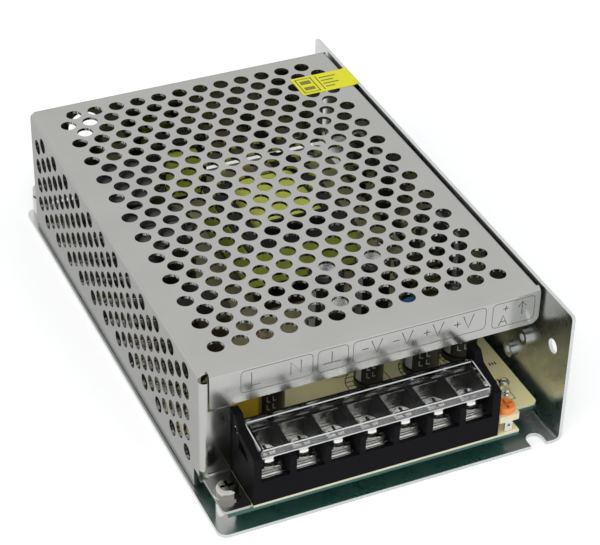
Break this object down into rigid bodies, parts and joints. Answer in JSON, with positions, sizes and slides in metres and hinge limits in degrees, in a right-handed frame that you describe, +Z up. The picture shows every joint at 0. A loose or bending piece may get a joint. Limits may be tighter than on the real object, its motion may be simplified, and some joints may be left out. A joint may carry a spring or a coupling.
{
  "type": "mesh case switching power supply",
  "caption": "Small AC to DC power supply: plated folded chassis, perforated cover, seven-screw terminal strip with clear lid, trimmer and lamp.",
  "frame": {"origin": "centre of the footprint, on the surface that the chassis rests on", "axes": "+Z up, -Y towards the terminals, +X towards the tall chassis wall"},
  "size_m": [0.098, 0.158, 0.0411],
  "materials": {
    "plated_steel": "mirror-like zinc plate",
    "cover_steel": "satin plated sheet",
    "screw_steel": "bright nickel plate",
    "board_laminate": "cream laminate, semi-gloss",
    "block_plastic": "black moulded, satin",
    "clear_plastic": "clear polycarbonate",
    "trimmer_blue": "cream ceramic look",
    "rotor_orange": "orange moulded",
    "lamp_resin": "clear resin",
    "sticker_yellow": "yellow, gloss",
    "ferrite": "dark grey, satin",
    "yellow_tape": "yellow-green polyester tape",
    "capacitor_black": "black sleeve, bright top",
    "film_yellow": "yellow box",
    "disc_blue": "blue coating",
    "black_epoxy": "black epoxy",
    "copper_wire": "enamelled copper",
    "pad_grey": "grey thermal pad",
    "fuse_glass": "glass tube",
    "resistor_tan": "tan coating",
    "diode_black": "black, silver band",
    "sheet_film": "thin insulating film"
  },
  "bodies": {
    "case": {"base_chassis": "plated_steel", "blue_discs": "disc_blue", "board_screws": "screw_steel", "board_standoffs": "screw_steel", "bridge_rectifier": "black_epoxy", "bulk_capacitors": "capacitor_black", "circuit_board": "board_laminate", "component_leads": "screw_steel", "controller_chip": "black_epoxy", "cover_side_screws": "screw_steel", "diodes": "diode_black", "drive_transformer_core": "ferrite", "drive_transformer_winding": "yellow_tape", "film_capacitors": "film_yellow", "foot_screws": "screw_steel", "front_capacitors": "capacitor_black", "front_foot_washer": "screw_steel", "fuse_holder": "screw_steel", "fuse_tube": "fuse_glass", "insulation_pads": "pad_grey", "insulation_sheet": "sheet_film", "label_sticker": "sticker_yellow", "line_choke_base": "black_epoxy", "line_choke_core": "ferrite", "line_choke_windings": "copper_wire", "mesh_cover": "cover_steel", "output_capacitors": "capacitor_black", "output_inductor_core": "yellow_tape", "output_inductor_winding": "copper_wire", "output_rectifier": "black_epoxy", "package_clips": "plated_steel", "power_led": "lamp_resin", "power_transistors": "black_epoxy", "resistors": "resistor_tan", "terminal_block_body": "block_plastic", "terminal_contacts": "screw_steel", "thermistor": "black_epoxy", "transformer_bobbin": "black_epoxy", "transformer_core": "ferrite", "transformer_tape": "yellow_tape", "transformer_winding": "yellow_tape", "trimmer_base": "trimmer_blue"},
    "clamp_body_1": {"clamp_1": "screw_steel"},
    "screw_body_1": {"terminal_screw_1": "screw_steel"},
    "clamp_body_2": {"clamp_2": "screw_steel"},
    "screw_body_2": {"terminal_screw_2": "screw_steel"},
    "clamp_body_3": {"clamp_3": "screw_steel"},
    "screw_body_3": {"terminal_screw_3": "screw_steel"},
    "clamp_body_4": {"clamp_4": "screw_steel"},
    "screw_body_4": {"terminal_screw_4": "screw_steel"},
    "clamp_body_5": {"clamp_5": "screw_steel"},
    "screw_body_5": {"terminal_screw_5": "screw_steel"},
    "clamp_body_6": {"clamp_6": "screw_steel"},
    "screw_body_6": {"terminal_screw_6": "screw_steel"},
    "clamp_body_7": {"clamp_7": "screw_steel"},
    "screw_body_7": {"terminal_screw_7": "screw_steel"},
    "lid": {"terminal_lid": "clear_plastic"},
    "rotor": {"trimmer_rotor": "rotor_orange"}
  },
  "joints": [
    {"name": "clamp_lift_1", "type": "slide", "parent": "case", "child": "clamp_body_1", "axis": [0, 0, 1], "range_m": [0, 0.0024]},
    {"name": "screw_turn_1", "type": "hinge", "parent": "clamp_body_1", "child": "screw_body_1", "pos_m": [-0.0338, -0.072, 0.0161], "axis": [0, 0, 1], "range_deg": [0, 1440]},
    {"name": "clamp_lift_2", "type": "slide", "parent": "case", "child": "clamp_body_2", "axis": [0, 0, 1], "range_m": [0, 0.0024]},
    {"name": "screw_turn_2", "type": "hinge", "parent": "clamp_body_2", "child": "screw_body_2", "pos_m": [-0.0243, -0.072, 0.0161], "axis": [0, 0, 1], "range_deg": [0, 1440]},
    {"name": "clamp_lift_3", "type": "slide", "parent": "case", "child": "clamp_body_3", "axis": [0, 0, 1], "range_m": [0, 0.0024]},
    {"name": "screw_turn_3", "type": "hinge", "parent": "clamp_body_3", "child": "screw_body_3", "pos_m": [-0.0148, -0.072, 0.0161], "axis": [0, 0, 1], "range_deg": [0, 1440]},
    {"name": "clamp_lift_4", "type": "slide", "parent": "case", "child": "clamp_body_4", "axis": [0, 0, 1], "range_m": [0, 0.0024]},
    {"name": "screw_turn_4", "type": "hinge", "parent": "clamp_body_4", "child": "screw_body_4", "pos_m": [-0.0053, -0.072, 0.0161], "axis": [0, 0, 1], "range_deg": [0, 1440]},
    {"name": "clamp_lift_5", "type": "slide", "parent": "case", "child": "clamp_body_5", "axis": [0, 0, 1], "range_m": [0, 0.0024]},
    {"name": "screw_turn_5", "type": "hinge", "parent": "clamp_body_5", "child": "screw_body_5", "pos_m": [0.0042, -0.072, 0.0161], "axis": [0, 0, 1], "range_deg": [0, 1440]},
    {"name": "clamp_lift_6", "type": "slide", "parent": "case", "child": "clamp_body_6", "axis": [0, 0, 1], "range_m": [0, 0.0024]},
    {"name": "screw_turn_6", "type": "hinge", "parent": "clamp_body_6", "child": "screw_body_6", "pos_m": [0.0137, -0.072, 0.0161], "axis": [0, 0, 1], "range_deg": [0, 1440]},
    {"name": "clamp_lift_7", "type": "slide", "parent": "case", "child": "clamp_body_7", "axis": [0, 0, 1], "range_m": [0, 0.0024]},
    {"name": "screw_turn_7", "type": "hinge", "parent": "clamp_body_7", "child": "screw_body_7", "pos_m": [0.0232, -0.072, 0.0161], "axis": [0, 0, 1], "range_deg": [0, 1440]},
    {"name": "lid_hinge", "type": "hinge", "parent": "case", "child": "lid", "pos_m": [0, -0.067, 0.0236], "axis": [-1, 0, 0], "range_deg": [0, 95]},
    {"name": "trimmer_turn", "type": "hinge", "parent": "case", "child": "rotor", "pos_m": [0.0326, -0.0754, 0.0134], "axis": [0, 0, 1], "range_deg": [-130, 130]}
  ],
  "couplings": [
    {"joint": "screw_turn_1", "follows": "clamp_lift_1", "rad_per_m": 10472},
    {"joint": "screw_turn_2", "follows": "clamp_lift_2", "rad_per_m": 10472},
    {"joint": "screw_turn_3", "follows": "clamp_lift_3", "rad_per_m": 10472},
    {"joint": "screw_turn_4", "follows": "clamp_lift_4", "rad_per_m": 10472},
    {"joint": "screw_turn_5", "follows": "clamp_lift_5", "rad_per_m": 10472},
    {"joint": "screw_turn_6", "follows": "clamp_lift_6", "rad_per_m": 10472},
    {"joint": "screw_turn_7", "follows": "clamp_lift_7", "rad_per_m": 10472}
  ]
}
